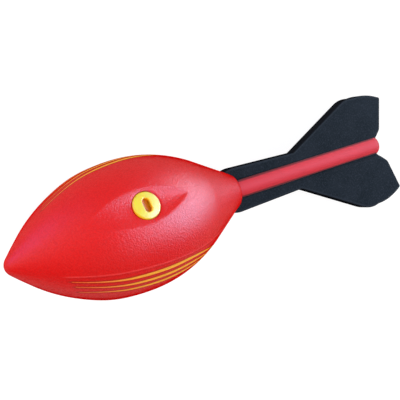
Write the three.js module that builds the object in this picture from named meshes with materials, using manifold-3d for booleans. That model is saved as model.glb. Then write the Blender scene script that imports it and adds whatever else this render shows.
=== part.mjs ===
// Whistling vortex throwing toy: a foam football with a finned tail
//
// Sizes are in millimetres. Each piece is drawn on the toy's own axis: X runs from the
// nose tip to the tail, Z is square to the fin sheet, and Y lies in the plane of the fins.
// At the end the whole toy is laid down as it rests, on its belly and its two fin tips.

import * as THREE from 'three';
import { mergeVertices } from 'three/addons/utils/BufferGeometryUtils.js';
import Module from 'manifold-3d';

const wasm = await Module();
wasm.setup();

// Clearances
const clearance = 0.3; // gap between two pieces that touch
const overrun = 2; // how far a cutter runs past the face that it opens

// Foam football body
const bodyRadius = 46.5;
const bodyLength = 177.5;
const noseRadius = 8.8;
const noseToWidest = 91.4;
const shoulderArcShare = 0.65; // part of the way from the widest place to the rim that is an arc
const rearRimRadius = 4.5;
const rearLipWidth = 0.4; // flat ring left round the tail bore

// Scoops that lead the air over the whistles
const scoopLength = 71.6;
const scoopWidth = 25.4;
const scoopDepth = 3.2;
const scoopLead = 3.2; // the scoop's middle lies this far ahead of the whistle
const scoopWallPower = 4; // a higher power gives a flatter floor and steeper walls
const scoopEdgePower = 1.4; // above one, the edge blends softly into the body
const scoopFloorPower = 1.35; // above one, the floor runs in gently and ends steeply
const columnCrowdingShare = 0.22; // how far the skin's columns draw in to the scoops

// Whistles, a cup with a slotted cap pressed over it
const whistleCount = 2;
const whistleStation = 88;
const whistleRollDegrees = 20; // turn of the whistles from square to the fin sheet
const capRadius = 9.7;
const capRimThickness = 1.8;
const capCrown = 0.7;
const capEdgeRadius = 0.5;
const capRecess = 1; // the cap's seat lies this far below the scoop's floor
const capSkirtLength = 3;
const capSkirtWall = 1;
const slotLength = 9.8;
const slotWidth = 5.2;
const cupRadius = 8.4;
const cupDepth = 15;
const cupWall = 1.2;
const cupFloor = 1.6;
const cupCornerRadius = 1.5;

// Painted stripe grooves, one set on each flank of the upper whistle
const stripesPerSet = 3;
const stripeFirstDegrees = 59.3; // turn of the first stripe from the upper whistle
const stripePitchDegrees = 7.4;
const stripeStart = 31.5;
const stripeRearMargin = 25.5; // from the stripes' rear tips to the body's rear
const stripeStagger = 3.8;
const stripeWidth = 2.6;
const stripeTipWidth = 0.5;
const stripeDepth = 0.5;
const stripeWidestShare = 0.68; // where it is widest, as a share of its length
const stripeFloorShare = 0.5; // floor width as a share of the width at the skin

// Tail tube, its stiff core rod and the plate that anchors the rod in the foam
const tubeRadius = 7.65;
const tubeReach = 128.5; // how far the tube stands out behind the body
const tubeSocketDepth = 29.5;
const tubeEndFillet = 5.2;
const rodRadius = 3.2;
const rodSocketDepth = 67.5;
const rodEndCover = 10; // foam left behind the rod's end
const plateRadius = 14;
const plateThickness = 3;
const plateSetback = 8; // from the rod's front end to the middle of the plate
const hubRadius = 6.2;
const hubLength = 10;

// Fins, a narrow strip along the tube that widens into a swept blade
const finThickness = 9.6;
const finInnerEdge = 4.6;
const finSocketDepth = 25.5;
const tangHalfWidth = 12.2; // the tang hidden in the body
const shoulderCover = 6.5; // the shoulder starts this far inside the body
const shoulderLength = 13;
const stripHalfWidth = 15.6;
const bladeRootLead = 75.3; // the leads are measured forward from the tube's end
const bladeRootHalfWidth = 13.8;
const bladeFrontLead = 18.6;
const bladeFrontHalfWidth = 43;
const bladeFrontRadius = 8;
const bladeTipTrail = 12.1; // the trails are measured behind the tube's end
const bladeTipHalfWidth = 35.4;
const bladeTipRadius = 1.6;
const bladeEdgeBulge = 1.7;
const bladeHeelTrail = 5.8;
const bladeHeelHalfWidth = 13.7;
const bladeHeelRadius = 5.4;
const bladeEndLead = 0.8;

// Facets
const bodyColumns = 68;
const noseSteps = 4;
const ogiveSteps = 19;
const shoulderSteps = 11;
const coneSteps = 5;
const rimSteps = 3;
const roundSteps = 32;
const filletSteps = 4;
const stripeSteps = 18;
const slotEndSteps = 8;
const finCurveSteps = 8;
const halvings = 40; // in each search for a slope or a tilt

// Stations along the axis that follow from the sizes above
const stripeEnd = bodyLength - stripeRearMargin;
const tubeFront = bodyLength - tubeSocketDepth;
const tubeEnd = bodyLength + tubeReach;
const rodFront = bodyLength - rodSocketDepth;
const rodEnd = tubeEnd - rodEndCover;
const plateStation = rodFront + plateSetback;
const finFront = bodyLength - finSocketDepth;
const shoulderStart = bodyLength - shoulderCover;
const shoulderEnd = shoulderStart + shoulderLength;
const bladeRootStation = tubeEnd - bladeRootLead;
const bladeFrontStation = tubeEnd - bladeFrontLead;
const bladeTipStation = tubeEnd + bladeTipTrail;
const bladeHeelStation = tubeEnd + bladeHeelTrail;
const bladeEndStation = tubeEnd - bladeEndLead;

const toRadians = THREE.MathUtils.degToRad;
const quarterTurn = Math.PI / 2;
const fullTurn = Math.PI * 2;

// The place between low and high where a falling function passes zero
function solve(miss, low, high) {
  for (let i = 0; i < halvings; i += 1) {
    const middle = (low + high) / 2;
    if (miss(middle) > 0) low = middle;
    else high = middle;
  }
  return low;
}

// Solids

function toSolid(geometry) {
  const bare = geometry.clone();
  bare.deleteAttribute('normal');
  bare.deleteAttribute('uv');
  const welded = mergeVertices(bare);
  const corners = [];
  for (let i = 0; i < welded.index.count; i += 3) {
    const [a, b, c] = [0, 1, 2].map((k) => welded.index.getX(i + k));
    if (a !== b && b !== c && c !== a) corners.push(a, b, c);
  }
  const vertProperties = new Float32Array(welded.attributes.position.array);
  const mesh = new wasm.Mesh({ numProp: 3, vertProperties, triVerts: new Uint32Array(corners) });
  return new wasm.Manifold(mesh);
}

function toGeometry(solid) {
  const mesh = solid.getMesh();
  const geometry = new THREE.BufferGeometry();
  geometry.setAttribute('position', new THREE.BufferAttribute(mesh.vertProperties, mesh.numProp));
  geometry.setIndex(new THREE.BufferAttribute(mesh.triVerts, 1));
  geometry.computeVertexNormals();
  return geometry;
}

function cutAll(geometry, cutters) {
  let solid = toSolid(geometry);
  for (const cutter of cutters) solid = solid.subtract(toSolid(cutter));
  return toGeometry(solid);
}

// A profile of [along, out] points turned round the X axis. The points run from the front
// over the outside to the rear.
function turned(profile, steps = roundSteps) {
  const points = profile.map(([along, out]) => new THREE.Vector2(out, along));
  return new THREE.LatheGeometry(points, steps).rotateZ(-quarterTurn);
}

// Points of an arc round a centre, both ends included
function arc([along, out], radius, from, to, steps) {
  const points = [];
  for (let i = 0; i <= steps; i += 1) {
    const angle = from + ((to - from) * i) / steps;
    points.push([along + radius * Math.cos(angle), out + radius * Math.sin(angle)]);
  }
  return points;
}

function rod(from, to, radius) {
  return turned([[from, 0], [from, radius], [to, radius], [to, 0]]);
}

// Body outline: a nose ball, an ogive, a shoulder arc, a straight cone and a rear rim,
// each meeting the next without a corner

const neckRadius = tubeRadius + clearance + rearLipWidth;
const ogiveArcRadius =
  ((noseToWidest - noseRadius) ** 2 + bodyRadius ** 2 - noseRadius ** 2) /
  (2 * (bodyRadius - noseRadius));
const ogiveCentre = [noseToWidest, bodyRadius - ogiveArcRadius];
const ogiveStartAngle = Math.atan2(-ogiveCentre[1], noseRadius - ogiveCentre[0]);
const rimCentre = [bodyLength - rearRimRadius, neckRadius];
const rearRun = rimCentre[0] - noseToWidest;
const rearDrop = bodyRadius - rimCentre[1];
const shoulderRun = rearRun * shoulderArcShare;
const coneSlope = solve(coneMiss, 0, quarterTurn);
const coneNormal = quarterTurn - coneSlope;
const shoulderArcRadius = shoulderRun / Math.sin(coneSlope);
const shoulderCentre = [noseToWidest, bodyRadius - shoulderArcRadius];

// How far a cone of this slope passes the rear rim, above zero when it passes outside
function coneMiss(slope) {
  const arcDrop = shoulderRun * Math.tan(slope / 2);
  return arcDrop - rearRun * Math.sin(slope) + rearDrop * Math.cos(slope) - rearRimRadius;
}

function bodyOutline() {
  const nose = arc([noseRadius, 0], noseRadius, Math.PI, ogiveStartAngle, noseSteps);
  const ogive = arc(ogiveCentre, ogiveArcRadius, ogiveStartAngle, quarterTurn, ogiveSteps);
  const shoulder = arc(shoulderCentre, shoulderArcRadius, quarterTurn, coneNormal, shoulderSteps);
  const rim = arc(rimCentre, rearRimRadius, coneNormal, 0, rimSteps);
  const [coneFrom, coneTo] = [shoulder.at(-1), rim[0]];
  const cone = [];
  for (let i = 1; i < coneSteps; i += 1) {
    const share = i / coneSteps;
    cone.push(coneFrom.map((value, k) => value + (coneTo[k] - value) * share));
  }
  return [...nose, ...ogive.slice(1), ...shoulder.slice(1), ...cone, ...rim];
}

const outline = bodyOutline();

function radiusAt(station) {
  const next = outline.findIndex(([along]) => along > station);
  const [from, to] = [outline[next - 1], outline[next]];
  return from[1] + ((to[1] - from[1]) * (station - from[0])) / (to[0] - from[0]);
}

// Azimuths are turns round the X axis from +Z towards +Y
function whistleAzimuth(index) {
  return toRadians(whistleRollDegrees) + (fullTurn * index) / whistleCount;
}

// Depth of a scoop below the body's round surface
function scoopInset(station, radius, azimuth, middle) {
  const alongShare = (station - (whistleStation - scoopLead)) / (scoopLength / 2);
  if (Math.abs(alongShare) >= 1) return 0;
  const turn = Math.atan2(Math.sin(azimuth - middle), Math.cos(azimuth - middle));
  const halfWidth = (scoopWidth / 2) * (1 - alongShare ** 2);
  const acrossShare = Math.abs(radius * turn) / halfWidth;
  if (acrossShare >= 1) return 0;
  const run = ((1 + alongShare) / 2) ** scoopFloorPower;
  const wall = (1 - acrossShare ** scoopWallPower) ** scoopEdgePower;
  return scoopDepth * Math.sin(Math.PI * run) * wall;
}

function scoopedRadius(station, radius, azimuth) {
  let inset = 0;
  for (let i = 0; i < whistleCount; i += 1) {
    inset += scoopInset(station, radius, azimuth, whistleAzimuth(i));
  }
  return radius - inset;
}

// The football's skin, a ring of points at each outline point, closed at both ends.
// The columns lie closer together at the scoops than on the flanks.
function footballSkin() {
  const rings = outline.slice(1);
  const points = [[0, 0, 0]];
  for (const [station, radius] of rings) {
    for (let j = 0; j < bodyColumns; j += 1) {
      const even = (fullTurn * j) / bodyColumns;
      const crowding = columnCrowdingShare * Math.sin(whistleCount * even);
      const azimuth = whistleAzimuth(0) + even - crowding;
      const reach = scoopedRadius(station, radius, azimuth);
      points.push([station, reach * Math.sin(azimuth), reach * Math.cos(azimuth)]);
    }
  }
  points.push([bodyLength, 0, 0]);
  return closedRings(points, rings.length, bodyColumns);
}

// Joins rings of points into a closed skin between a first and a last point
function closedRings(points, ringCount, columns) {
  const last = points.length - 1;
  const faces = [];
  for (let j = 0; j < columns; j += 1) {
    const k = (j + 1) % columns;
    faces.push(0, 1 + j, 1 + k);
    for (let i = 0; i + 1 < ringCount; i += 1) {
      const [near, far] = [1 + i * columns, 1 + (i + 1) * columns];
      faces.push(near + j, far + j, near + k);
      faces.push(near + k, far + j, far + k);
    }
    const end = 1 + (ringCount - 1) * columns;
    faces.push(end + j, last, end + k);
  }
  const geometry = new THREE.BufferGeometry();
  geometry.setAttribute('position', new THREE.Float32BufferAttribute(points.flat(), 3));
  geometry.setIndex(faces);
  return geometry;
}

// A stripe's groove follows the body from nose to neck and tapers to both ends
function stripeCutter(azimuth, from, to) {
  const outward = [Math.sin(azimuth), Math.cos(azimuth)];
  const sideways = [Math.cos(azimuth), -Math.sin(azimuth)];
  const place = (station, height, offset) => [
    station,
    height * outward[0] + offset * sideways[0],
    height * outward[1] + offset * sideways[1],
  ];
  const peakPower = Math.log(1 / 2) / Math.log(stripeWidestShare);
  const sections = [];
  for (let i = 0; i <= stripeSteps; i += 1) {
    const share = i / stripeSteps;
    const station = from + (to - from) * share;
    const swell = Math.sin(Math.PI * share ** peakPower);
    const half = (stripeTipWidth + (stripeWidth - stripeTipWidth) * swell) / 2;
    const surface = radiusAt(station);
    const floor = half * stripeFloorShare;
    sections.push([
      place(station, surface + overrun, half),
      place(station, surface - stripeDepth, floor),
      place(station, surface - stripeDepth, -floor),
      place(station, surface + overrun, -half),
    ]);
  }
  const ends = [place(from, radiusAt(from), 0), place(to, radiusAt(to), 0)];
  const points = [ends[0], ...sections.flat(), ends[1]];
  return closedRings(points, sections.length, sections[0].length);
}

function stripeCutters() {
  const cutters = [];
  for (const flank of [-1, 1]) {
    for (let i = 0; i < stripesPerSet; i += 1) {
      const turn = toRadians(stripeFirstDegrees + stripePitchDegrees * i);
      const azimuth = whistleAzimuth(0) + flank * turn;
      const shift = stripeStagger * i;
      cutters.push(stripeCutter(azimuth, stripeStart + shift, stripeEnd - shift));
    }
  }
  return cutters;
}

// Whistle pieces stand on the X axis and point along it until they are turned into place

const scoopFloorRadius = scoopedRadius(whistleStation, radiusAt(whistleStation), whistleAzimuth(0));
const seatLevel = scoopFloorRadius - capRecess;

function faceWhistle(object, index) {
  return object
    .rotateY(-quarterTurn)
    .rotateX(-whistleAzimuth(index))
    .translate(whistleStation, 0, 0);
}

function whistleCup() {
  const bottom = seatLevel - cupDepth;
  const floor = bottom + cupFloor;
  const inner = cupRadius - cupWall;
  const outerCorner = cupCornerRadius;
  const innerCorner = cupCornerRadius - cupWall / 2;
  const outerCentre = [bottom + outerCorner, cupRadius - outerCorner];
  const innerCentre = [floor + innerCorner, inner - innerCorner];
  return turned([
    [bottom, 0],
    ...arc(outerCentre, outerCorner, Math.PI, quarterTurn, filletSteps),
    [seatLevel, cupRadius],
    [seatLevel, inner],
    ...arc(innerCentre, innerCorner, quarterTurn, Math.PI, filletSteps),
    [floor, 0],
  ]);
}

function slotCutter() {
  const straight = slotLength / 2 - slotWidth / 2;
  const shape = new THREE.Shape();
  shape.absarc(0, straight, slotWidth / 2, 0, Math.PI);
  shape.absarc(0, -straight, slotWidth / 2, Math.PI, fullTurn);
  const depth = cupDepth + overrun;
  const options = { depth, bevelEnabled: false, curveSegments: slotEndSteps };
  const cutter = new THREE.ExtrudeGeometry(shape, options);
  return cutter.rotateY(quarterTurn).translate(seatLevel - cupDepth / 2, 0, 0);
}

function whistleCap() {
  const base = seatLevel + clearance;
  const rimTop = base + capRimThickness;
  const skirtOuter = cupRadius - cupWall - clearance;
  const skirtEnd = base - capSkirtLength;
  const crownRadius = (capRadius ** 2 + capCrown ** 2) / (2 * capCrown);
  const crownCentre = rimTop + capCrown - crownRadius;
  const crownSpread = Math.asin((capRadius - capEdgeRadius) / crownRadius);
  const edgeCentre = [rimTop - capEdgeRadius, capRadius - capEdgeRadius];
  const cap = turned([
    [base, 0],
    [base, skirtOuter - capSkirtWall],
    [skirtEnd, skirtOuter - capSkirtWall],
    [skirtEnd, skirtOuter],
    [base, skirtOuter],
    [base, capRadius],
    ...arc(edgeCentre, capEdgeRadius, quarterTurn, 0, filletSteps).slice(0, -1),
    ...arc([crownCentre, 0], crownRadius, crownSpread, 0, filletSteps),
  ]);
  return cutAll(cap, [slotCutter()]);
}

function whistlePocket(index) {
  const bottom = seatLevel - cupDepth - clearance;
  const pocket = rod(bottom, bodyRadius + overrun, cupRadius + clearance);
  const seat = rod(seatLevel, bodyRadius + overrun, capRadius + clearance);
  return [faceWhistle(pocket, index), faceWhistle(seat, index)];
}

// Anchor plate on the front end of the rod

const hubFront = plateStation - hubLength / 2;
const hubEnd = plateStation + hubLength / 2;

function anchorPlate(grow = 0) {
  const half = plateThickness / 2 + grow;
  const bore = rodRadius + clearance;
  const [front, end] = [hubFront - grow, hubEnd + grow];
  const hub = hubRadius + grow;
  const plate = plateRadius + grow;
  const profile = [
    [front, hub],
    [plateStation - half, hub],
    [plateStation - half, plate],
    [plateStation + half, plate],
    [plateStation + half, hub],
    [end, hub],
  ];
  if (grow > 0) return turned([[front, 0], ...profile, [end, 0]]);
  return turned([[front, bore], ...profile, [end, bore], [front, bore]]);
}

function coreRod() {
  return rod(rodFront, rodEnd, rodRadius);
}

// Fins, drawn flat: along the toy and out from its axis

function stripEdgeAt(station) {
  const share = (station - shoulderEnd) / (bladeRootStation - shoulderEnd);
  return stripHalfWidth + (bladeRootHalfWidth - stripHalfWidth) * share;
}

// A corner of an outline rounded to a radius, given the corner and its neighbours
function roundCorner(before, corner, after, radius) {
  const towards = (point) => new THREE.Vector2(point[0] - corner[0], point[1] - corner[1]).normalize();
  const [first, second] = [towards(before), towards(after)];
  const halfAngle = Math.acos(first.dot(second)) / 2;
  const setback = radius / Math.tan(halfAngle);
  const start = [corner[0] + first.x * setback, corner[1] + first.y * setback];
  const end = [corner[0] + second.x * setback, corner[1] + second.y * setback];
  return { start, corner, end };
}

function finOutline(side, grow) {
  const point = (station, out) => [station, side * out];
  const frontCorner = point(bladeFrontStation, bladeFrontHalfWidth + grow);
  const root = point(bladeRootStation, bladeRootHalfWidth + grow);
  const tip = point(bladeTipStation, bladeTipHalfWidth + grow);
  const heel = point(bladeHeelStation + grow, bladeHeelHalfWidth);
  const end = point(bladeEndStation + grow, finInnerEdge - grow);
  const corners = [
    roundCorner(root, frontCorner, tip, bladeFrontRadius),
    roundCorner(frontCorner, tip, heel, bladeTipRadius),
    roundCorner(tip, heel, end, bladeHeelRadius),
  ];
  const shape = new THREE.Shape();
  shape.moveTo(...point(finFront - grow, finInnerEdge - grow));
  shape.lineTo(...point(finFront - grow, tangHalfWidth + grow));
  shape.lineTo(...point(shoulderStart, tangHalfWidth + grow));
  const knee = (shoulderStart + shoulderEnd) / 2;
  const kneePoint = point(knee, stripEdgeAt(knee) + grow);
  shape.quadraticCurveTo(...kneePoint, ...point(shoulderEnd, stripHalfWidth + grow));
  shape.lineTo(...root);
  for (const { start, corner, end: finish } of corners) {
    const previous = shape.currentPoint.toArray();
    if (corner === tip) {
      const chordMiddle = previous.map((value, k) => (value + start[k]) / 2);
      const pull = side * bladeEdgeBulge * 2; // such a curve comes half as far as it is pulled
      shape.quadraticCurveTo(chordMiddle[0], chordMiddle[1] + pull, ...start);
    } else {
      shape.lineTo(...start);
    }
    shape.quadraticCurveTo(...corner, ...finish);
  }
  shape.lineTo(...end);
  shape.closePath();
  return shape;
}

function fin(side, grow = 0) {
  const depth = finThickness + 2 * grow;
  const options = { depth, bevelEnabled: false, curveSegments: finCurveSteps };
  const sheet = new THREE.ExtrudeGeometry(finOutline(side, grow), options);
  return sheet.translate(0, 0, -depth / 2);
}

function finCutters() {
  return [-1, 1].map((side) => fin(side, clearance));
}

function tailTube() {
  const bore = rodRadius + clearance;
  const boreEnd = rodEnd + clearance;
  const filletCentre = [tubeEnd - tubeEndFillet, tubeRadius - tubeEndFillet];
  const tube = turned([
    [boreEnd, 0],
    [boreEnd, bore],
    [tubeFront, bore],
    [tubeFront, tubeRadius],
    ...arc(filletCentre, tubeEndFillet, quarterTurn, 0, filletSteps),
    [tubeEnd, 0],
  ]);
  return cutAll(tube, finCutters());
}

function foamBody() {
  const tailBore = rod(tubeFront - clearance, bodyLength + overrun, tubeRadius + clearance);
  const rodBore = rod(rodFront - clearance, tubeFront + overrun, rodRadius + clearance);
  const pockets = [];
  for (let i = 0; i < whistleCount; i += 1) pockets.push(...whistlePocket(i));
  return cutAll(footballSkin(), [
    tailBore,
    rodBore,
    anchorPlate(clearance),
    ...finCutters(),
    ...pockets,
    ...stripeCutters(),
  ]);
}

// Materials

const finishes = {
  redFoam: { color: 0xd81c26, roughness: 0.5, metalness: 0 },
  redTube: { color: 0xd0404e, roughness: 0.8, metalness: 0 },
  blackFoam: { color: 0x262a33, roughness: 0.85, metalness: 0 },
  yellowPlastic: { color: 0xffdf2a, roughness: 0.25, metalness: 0 },
  greyPlastic: { color: 0x9a9a96, roughness: 0.5, metalness: 0 },
};

function piece(name, geometry, finish) {
  const mesh = new THREE.Mesh(geometry, new THREE.MeshStandardMaterial(finishes[finish]));
  mesh.name = name;
  return mesh;
}

// Assembly

const toy = new THREE.Group();
toy.add(piece('foam_body', foamBody(), 'redFoam'));
toy.add(piece('tail_tube', tailTube(), 'redTube'));
toy.add(piece('core_rod', toGeometry(toSolid(coreRod())), 'greyPlastic'));
toy.add(piece('anchor_plate', toGeometry(toSolid(anchorPlate())), 'greyPlastic'));
toy.add(piece('right_fin', toGeometry(toSolid(fin(-1))), 'blackFoam'));
toy.add(piece('left_fin', toGeometry(toSolid(fin(1))), 'blackFoam'));

['upper', 'lower'].forEach((side, index) => {
  const cup = toGeometry(toSolid(whistleCup()));
  toy.add(piece(`${side}_whistle_cup`, faceWhistle(cup, index), 'yellowPlastic'));
  toy.add(piece(`${side}_whistle_cap`, faceWhistle(whistleCap(), index), 'yellowPlastic'));
});

// The toy rests on its belly and its tail: the tilt that brings both to the same height

function lowestAtTilt(meshes, tilt) {
  let lowest = Infinity;
  for (const { geometry } of meshes) {
    const { position } = geometry.attributes;
    for (let i = 0; i < position.count; i += 1) {
      const height = position.getZ(i) * Math.cos(tilt) - position.getX(i) * Math.sin(tilt);
      lowest = Math.min(lowest, height);
    }
  }
  return lowest;
}

function restingTilt() {
  const named = (...names) => toy.children.filter(({ name }) => names.includes(name));
  const belly = named('foam_body');
  const tail = named('tail_tube', 'left_fin', 'right_fin');
  const tailClearance = (tilt) => lowestAtTilt(tail, tilt) - lowestAtTilt(belly, tilt);
  return solve(tailClearance, 0, quarterTurn / 2);
}

toy.rotation.y = restingTilt();

const box = new THREE.Box3().setFromObject(toy, true);
const middle = box.getCenter(new THREE.Vector3());
toy.position.set(-middle.x, -middle.y, -box.min.z);

const group = new THREE.Group();
group.add(toy);

export default group;
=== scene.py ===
import math

import bpy
import numpy as np
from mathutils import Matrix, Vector


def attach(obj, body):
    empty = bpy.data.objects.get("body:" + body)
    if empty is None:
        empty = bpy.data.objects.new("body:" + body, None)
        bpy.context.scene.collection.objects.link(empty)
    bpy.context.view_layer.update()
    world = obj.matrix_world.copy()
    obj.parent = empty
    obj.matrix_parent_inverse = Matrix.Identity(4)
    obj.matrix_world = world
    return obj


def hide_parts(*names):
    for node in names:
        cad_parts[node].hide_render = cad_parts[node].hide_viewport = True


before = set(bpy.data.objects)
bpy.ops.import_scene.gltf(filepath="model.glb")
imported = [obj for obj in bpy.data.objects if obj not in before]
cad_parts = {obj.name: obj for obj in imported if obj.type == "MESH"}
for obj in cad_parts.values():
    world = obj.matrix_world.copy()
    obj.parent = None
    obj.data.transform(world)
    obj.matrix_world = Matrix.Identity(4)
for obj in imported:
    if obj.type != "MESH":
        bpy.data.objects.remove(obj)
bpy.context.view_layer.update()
print("frame loaded")

# The toy is drawn in its own frame in millimetres: along runs from the nose tip to the tail, side lies in the
# plane of the fins and up is square to them. It rests tail down, on its belly and its two fin tips.
toyPose = {"noseTip": (-0.1563837, 0.0, 0.0647281), "tiltDegrees": 10.88746}


def toRest(points):
    # turned down by the tilt about the side axis, scaled to metres and moved to the nose tip
    tilt = math.radians(toyPose["tiltDegrees"])
    along, side, up = np.moveaxis(np.asarray(points, float), -1, 0)
    x = along * math.cos(tilt) + up * math.sin(tilt)
    z = up * math.cos(tilt) - along * math.sin(tilt)
    return np.stack([x, side, z], -1) / 1000 + np.array(toyPose["noseTip"])


def linear(hexColour):
    # an sRGB hex value as linear RGBA
    parts = np.array([int(hexColour[i:i + 2], 16) for i in (1, 3, 5)]) / 255
    curved = ((parts + 0.055) / 1.055) ** 2.4
    return (*np.where(parts <= 0.04045, parts / 12.92, curved).tolist(), 1.0)


def addNode(tree, kind, sockets=None, **settings):
    # adds a node, sets its properties, and fills or links its sockets
    node = tree.nodes.new(kind)
    for name, value in settings.items():
        setattr(node, name, value)
    for name, value in (sockets or {}).items():
        if isinstance(value, bpy.types.NodeSocket):
            tree.links.new(value, node.inputs[name])
        else:
            node.inputs[name].default_value = value
    return node


def startMaterial(name):
    # a new material with an empty node tree
    material = bpy.data.materials.new(name)
    material.use_nodes = True
    material.node_tree.nodes.clear()
    return material, material.node_tree


def finishMaterial(tree, sockets):
    # the surface shader, with its sockets filled or linked, and the output
    shader = addNode(tree, "ShaderNodeBsdfPrincipled", sockets)
    addNode(tree, "ShaderNodeOutputMaterial", {"Surface": shader.outputs["BSDF"]})


def perMetre(millimetres):
    # a pattern's scale on Object coordinates, which are in metres: how often its real size fits in one
    return 1000 / millimetres


def softGloss(tree, level, start, stop):
    # The grain of a foam skin hides its gloss where it is seen edge on: the specular level falls from its
    # full value to none between two values of Facing, which is 0 face on and 1 edge on.
    facing = addNode(tree, "ShaderNodeLayerWeight", {"Blend": 0.5})
    fade = addNode(tree, "ShaderNodeMapRange", {"Value": facing.outputs["Facing"], "From Min": start,
                                                "From Max": stop, "To Min": level, "To Max": 0.0},
                   interpolation_type="SMOOTHSTEP")
    return fade.outputs[0]


def layerColours(tree, colour, layers):
    # Colours laid one over another. A layer is a value, the two levels between which it comes in, how strong
    # it gets, how it is eased, and its colour, as a hex value or a socket.
    for value, start, stop, strength, easing, tone in layers:
        mask = addNode(tree, "ShaderNodeMapRange", {"Value": value, "From Min": start, "From Max": stop,
                                                    "To Max": strength}, interpolation_type=easing)
        tone = linear(tone) if isinstance(tone, str) else tone
        mix = addNode(tree, "ShaderNodeMix", {"Factor": mask.outputs[0], 6: colour, 7: tone},
                      data_type="RGBA")
        colour = mix.outputs[2]
    return colour


# Surfaces

def gridFaces(rows, columns, wrapRows, wrapColumns, start=0):
    # the quads of a grid of points, row by row, joined round where it wraps
    i = np.arange(rows if wrapRows else rows - 1)[:, None]
    j = np.arange(columns if wrapColumns else columns - 1)[None, :]
    below, beside = (i + 1) % rows * columns, (j + 1) % columns
    corners = [i * columns + j, below + j, below + beside, i * columns + beside]
    return np.stack([np.broadcast_to(c, (i.size, j.size)) for c in corners], -1).reshape(-1, 4) + start


def slabFaces(rows, columns):
    # two grids of points, one above the other, and the wall between their borders
    index = np.arange(rows * columns).reshape(rows, columns)
    loop = np.concatenate([index[0, :-1], index[:-1, -1], index[-1, :0:-1], index[:0:-1, 0]])
    after = np.roll(loop, -1)
    bottom = rows * columns
    top = gridFaces(rows, columns, False, False)
    return [top, top[:, ::-1] + bottom, np.stack([loop, loop + bottom, after + bottom, after], -1)]


def poleFaces(ring, pole, outwards):
    # a fan of triangles from a ring of points to one point
    after = np.roll(ring, -1)
    pair = (after, ring) if outwards else (ring, after)
    return np.stack([np.full(ring.size, pole), *pair], -1)


def closedRings(rings, front, rear):
    # rings of points joined one to the next, and a point at each end that closes them
    count, columns = rings.shape[:2]
    points = np.concatenate([[front], rings.reshape(-1, 3), [rear]])
    first = 1 + np.arange(columns)
    last = first + (count - 1) * columns
    return points, [gridFaces(count, columns, False, True, 1), poleFaces(first, 0, False),
                    poleFaces(last, len(points) - 1, True)]


def signedVolume(points, faces):
    # a sixth of the triple product of every triangle's corners, summed: above 0 where faces point outwards
    total = 0.0
    for face in faces:
        for k in range(1, face.shape[1] - 1):
            a, b, c = points[face[:, 0]], points[face[:, k]], points[face[:, k + 1]]
            total += np.einsum("ij,ij->i", a, np.cross(b, c)).sum() / 6
    return total


def makePiece(name, points, faces, material, nodes, attributes=None, sharpDegrees=38):
    # points in the toy's frame, faces as arrays of quads or triangles, turned round if they face inwards
    points = np.asarray(points, float).reshape(-1, 3)
    if signedVolume(points, faces) < 0:
        faces = [face[:, ::-1] for face in faces]
    mesh = bpy.data.meshes.new(name)
    mesh.from_pydata(toRest(points).tolist(), [], [row for face in faces for row in face.tolist()])
    mesh.polygons.foreach_set("use_smooth", np.ones(len(mesh.polygons), bool))
    mesh.set_sharp_from_angle(angle=math.radians(sharpDegrees))
    for key, values in (attributes or {}).items():
        kind = "FLOAT_VECTOR" if values.ndim == 2 else "FLOAT"
        layer = mesh.attributes.new(key, kind, "POINT")
        layer.data.foreach_set("vector" if values.ndim == 2 else "value", values.ravel().astype(np.float32))
    mesh.materials.append(material)
    mesh.update()
    piece = bpy.data.objects.new(name, mesh)
    bpy.context.scene.collection.objects.link(piece)
    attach(piece, "root")
    if nodes:
        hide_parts(*nodes)
    print("made", name, len(mesh.polygons), "faces")
    return piece


def arcPoints(centre, radius, start, end, count):
    # points of a circle's arc: centre plus radius times cosine and sine of evenly spaced angles
    angle = np.linspace(start, end, count)
    return np.stack([centre[0] + radius * np.cos(angle), centre[1] + radius * np.sin(angle)], -1)


def smoothStep(x):
    # three squares less two cubes, held between 0 and 1
    x = np.clip(x, 0, 1)
    return x * x * (3 - 2 * x)


def wrapTurn(turn):
    # the same direction, between minus and plus half a turn
    return (turn + math.pi) % (2 * math.pi) - math.pi


def radialAxes(turn):
    # straight out from the toy's axis at a turn, and square to that, the way in which turns grow
    return (np.array([0, math.sin(turn), math.cos(turn)]),
            np.array([0, math.cos(turn), -math.sin(turn)]))


# Foam football body

football = {  # the turned profile, the skin's soft swells, the drawn-out tip and the neck
    "radius": 46.5, "length": 177.5, "noseRadius": 8.8, "noseToWidest": 91.4, "shoulderArcShare": 0.65,
    "rimRadius": 4.5, "neckRadius": 8.35, "tubeRadius": 7.65, "arcSteps": (200, 1200, 800, 100),
    "noseReach": 1.8, "noseReachTo": 14.0, "fullness": ((62.0, 0.6), (156.0, 0.6)), "fullnessSpread": 15.0,
    "neckLip": 0.4, "neckGap": 0.25, "hiddenDepth": 6.0, "hiddenRadius": 6.5, "sharpDegrees": 50,
}
bodyGrid = {  # the skin's grid: its steps in millimetres, finer within reach of the stripes and the parting
    "rowStep": 0.9, "columnStep": 1.0, "fineColumnStep": 0.4, "fineReach": 3.4, "fineFade": 1.4,
    "turnSamples": 7200, "stripeDrifts": (0, 3, 7, 12, 17), "partingShares": (0, 0.3, 0.65, 1),
}
whistle = {  # where the whistles sit, the seats of their caps and the bores for their cups
    "count": 2, "station": 88.4, "rollDegrees": 20.0, "leanDegrees": 1.0, "capRadius": 9.7, "gap": 0.3,
    "recess": 0.5, "cupRadius": 8.4, "cupDepth": 15.0, "lipWidth": 0.45, "lipDrop": 0.3,
}
pocketRings = {  # the grid's rings round a whistle, from the last one drawn in to the floor of the bore
    "outer": 27, "blend": 14, "lip": 12, "hole": 11, "seat": 10, "bore": 9, "floor": 8,
}
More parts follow.
